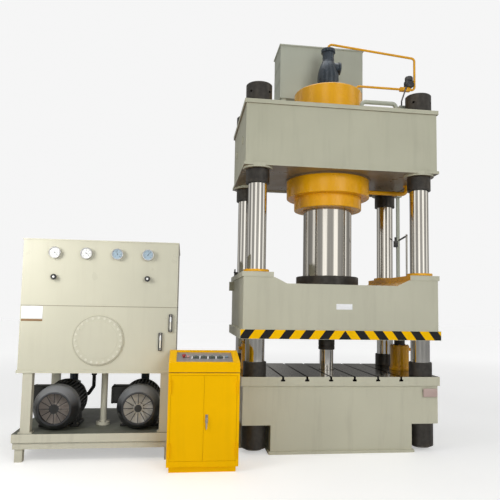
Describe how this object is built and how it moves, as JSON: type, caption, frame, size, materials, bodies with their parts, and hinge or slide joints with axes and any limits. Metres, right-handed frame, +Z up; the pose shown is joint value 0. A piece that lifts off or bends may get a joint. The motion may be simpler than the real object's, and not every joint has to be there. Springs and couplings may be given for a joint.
{
  "type": "hydraulic press",
  "caption": "Column-guided hydraulic press with a crown-mounted cylinder, moving slide, slotted table, ejector, side cushions, a separate oil power unit and a control console.",
  "frame": {"origin": "floor level under the centre of the press, midway between its columns", "axes": "+Z up along the columns, -Y towards the operator, +X to the operator's right, away from the power unit"},
  "size_m": [4.36, 1.9119, 4.75],
  "materials": {
    "bed_paint": "warm grey machine paint",
    "table_steel": "ground steel",
    "column_chrome": "polished, hard-chromed",
    "nut_steel": "blackened",
    "crown_paint": "warm grey machine paint",
    "slide_paint": "warm grey machine paint",
    "cylinder_paint": "yellow-orange gloss paint",
    "ram_chrome": "polished, hard-chromed",
    "ring_steel": "machined",
    "valve_paint": "dark blue-grey paint",
    "prefill_tank_paint": "cream paint",
    "switch_plastic": "moulded, black",
    "trip_steel": "bright",
    "tank_paint": "cream gloss paint",
    "stand_paint": "greenish dark grey paint",
    "gauge_metal": "plated case with a pale dial",
    "knob_plastic": "moulded, black",
    "sight_glass": "clear tube in a dark frame",
    "motor_paint": "dark grey paint",
    "fan_plastic": "moulded, dark",
    "pump_iron": "dark painted casting",
    "console_paint": "safety yellow powder coat",
    "panel_metal": "grey satin plate",
    "red_plastic": "moulded, dark red",
    "button_plastic": "moulded, dark greenish grey"
  },
  "bodies": {
    "frame": {"bed": "bed_paint", "bolster": "table_steel", "column_front_left": "column_chrome", "column_front_right": "column_chrome", "column_rear_left": "column_chrome", "column_rear_right": "column_chrome", "upper_nut_front_left": "nut_steel", "upper_nut_front_right": "nut_steel", "upper_nut_rear_left": "nut_steel", "upper_nut_rear_right": "nut_steel", "crown": "crown_paint", "main_cylinder": "cylinder_paint", "cylinder_gland": "cylinder_paint", "feed_pipe": "cylinder_paint", "pilot_pipe": "cylinder_paint", "damper_barrel_left": "cylinder_paint", "damper_barrel_right": "cylinder_paint", "ejector_cylinder": "ring_steel", "prefill_valve": "valve_paint", "prefill_tank": "prefill_tank_paint", "crown_pipe": "prefill_tank_paint", "limit_switch": "switch_plastic", "oil_tank": "tank_paint", "valve_enclosure": "tank_paint", "manhole_cover": "tank_paint", "tank_stand": "stand_paint", "drain_pipe": "stand_paint", "gauge_1": "gauge_metal", "gauge_2": "gauge_metal", "gauge_3": "gauge_metal", "gauge_4": "gauge_metal", "level_gauge_upper": "sight_glass", "level_gauge_lower": "sight_glass", "motor_left": "motor_paint", "motor_right": "motor_paint", "pump_left": "pump_iron", "pump_right": "pump_iron", "console_cabinet": "console_paint", "control_panel": "panel_metal"},
    "slide_assembly": {"slide": "slide_paint", "ram": "ram_chrome", "ram_clamp_ring": "ring_steel", "trip_rod": "trip_steel"},
    "ejector": {"ejector_rod": "ring_steel"},
    "plunger_left": {"damper_plunger_left": "ring_steel"},
    "plunger_right": {"damper_plunger_right": "ring_steel"},
    "fan_left": {"motor_fan_left": "fan_plastic"},
    "fan_right": {"motor_fan_right": "fan_plastic"},
    "knob_left": {"valve_knob_left": "knob_plastic"},
    "knob_right": {"valve_knob_right": "knob_plastic"},
    "door_left": {"console_door_left": "console_paint"},
    "door_right": {"console_door_right": "console_paint"},
    "handle": {"door_handle": "trip_steel"},
    "stop_button": {"emergency_stop": "red_plastic"},
    "button_1": {"push_button_1": "button_plastic"},
    "button_2": {"push_button_2": "button_plastic"},
    "button_3": {"push_button_3": "button_plastic"},
    "button_4": {"push_button_4": "button_plastic"},
    "button_5": {"push_button_5": "button_plastic"},
    "button_6": {"push_button_6": "button_plastic"}
  },
  "joints": [
    {"name": "slide_travel", "type": "slide", "parent": "frame", "child": "slide_assembly", "axis": [0, 0, 1], "range_m": [0, 0.75]},
    {"name": "ejector_travel", "type": "slide", "parent": "frame", "child": "ejector", "axis": [0, 0, 1], "range_m": [-0.35, 0]},
    {"name": "plunger_left_travel", "type": "slide", "parent": "frame", "child": "plunger_left", "axis": [0, 0, 1], "range_m": [-0.05, 0], "stiffness_N_per_m": 40000, "springref_m": 0.01},
    {"name": "plunger_right_travel", "type": "slide", "parent": "frame", "child": "plunger_right", "axis": [0, 0, 1], "range_m": [-0.05, 0], "stiffness_N_per_m": 40000, "springref_m": 0.01},
    {"name": "fan_left_spin", "type": "hinge", "parent": "frame", "child": "fan_left", "pos_m": [-2.83, -0.1, 0.474], "axis": [0, 1, 0], "continuous": true},
    {"name": "fan_right_spin", "type": "hinge", "parent": "frame", "child": "fan_right", "pos_m": [-2.05, -0.1, 0.474], "axis": [0, 1, 0], "continuous": true},
    {"name": "knob_left_turn", "type": "hinge", "parent": "frame", "child": "knob_left", "pos_m": [-2.872, -0.735, 1.72], "axis": [0, -1, 0], "range_deg": [0, 360]},
    {"name": "knob_right_turn", "type": "hinge", "parent": "frame", "child": "knob_right", "pos_m": [-1.999, -0.735, 1.72], "axis": [0, -1, 0], "range_deg": [0, 360]},
    {"name": "door_left_hinge", "type": "hinge", "parent": "frame", "child": "door_left", "pos_m": [-1.735, -1.1565, 0.1], "axis": [0, 0, 1], "range_deg": [-115, 0]},
    {"name": "door_right_hinge", "type": "hinge", "parent": "frame", "child": "door_right", "pos_m": [-1.143, -1.1565, 0.1], "axis": [0, 0, 1], "range_deg": [0, 115]},
    {"name": "handle_turn", "type": "hinge", "parent": "door_right", "child": "handle", "pos_m": [-1.412, -1.149, 0.468], "axis": [0, -1, 0], "range_deg": [0, 90]},
    {"name": "stop_press", "type": "slide", "parent": "frame", "child": "stop_button", "axis": [0, -0.2208, 0.9753], "range_m": [-0.005, 0], "stiffness_N_per_m": 400, "springref_m": 0.002},
    {"name": "button_1_press", "type": "slide", "parent": "frame", "child": "button_1", "axis": [0, -0.2208, 0.9753], "range_m": [-0.005, 0], "stiffness_N_per_m": 400, "springref_m": 0.002},
    {"name": "button_2_press", "type": "slide", "parent": "frame", "child": "button_2", "axis": [0, -0.2208, 0.9753], "range_m": [-0.005, 0], "stiffness_N_per_m": 400, "springref_m": 0.002},
    {"name": "button_3_press", "type": "slide", "parent": "frame", "child": "button_3", "axis": [0, -0.2208, 0.9753], "range_m": [-0.005, 0], "stiffness_N_per_m": 400, "springref_m": 0.002},
    {"name": "button_4_press", "type": "slide", "parent": "frame", "child": "button_4", "axis": [0, -0.2208, 0.9753], "range_m": [-0.005, 0], "stiffness_N_per_m": 400, "springref_m": 0.002},
    {"name": "button_5_press", "type": "slide", "parent": "frame", "child": "button_5", "axis": [0, -0.2208, 0.9753], "range_m": [-0.005, 0], "stiffness_N_per_m": 400, "springref_m": 0.002},
    {"name": "button_6_press", "type": "slide", "parent": "frame", "child": "button_6", "axis": [0, -0.2208, 0.9753], "range_m": [-0.005, 0], "stiffness_N_per_m": 400, "springref_m": 0.002}
  ]
}
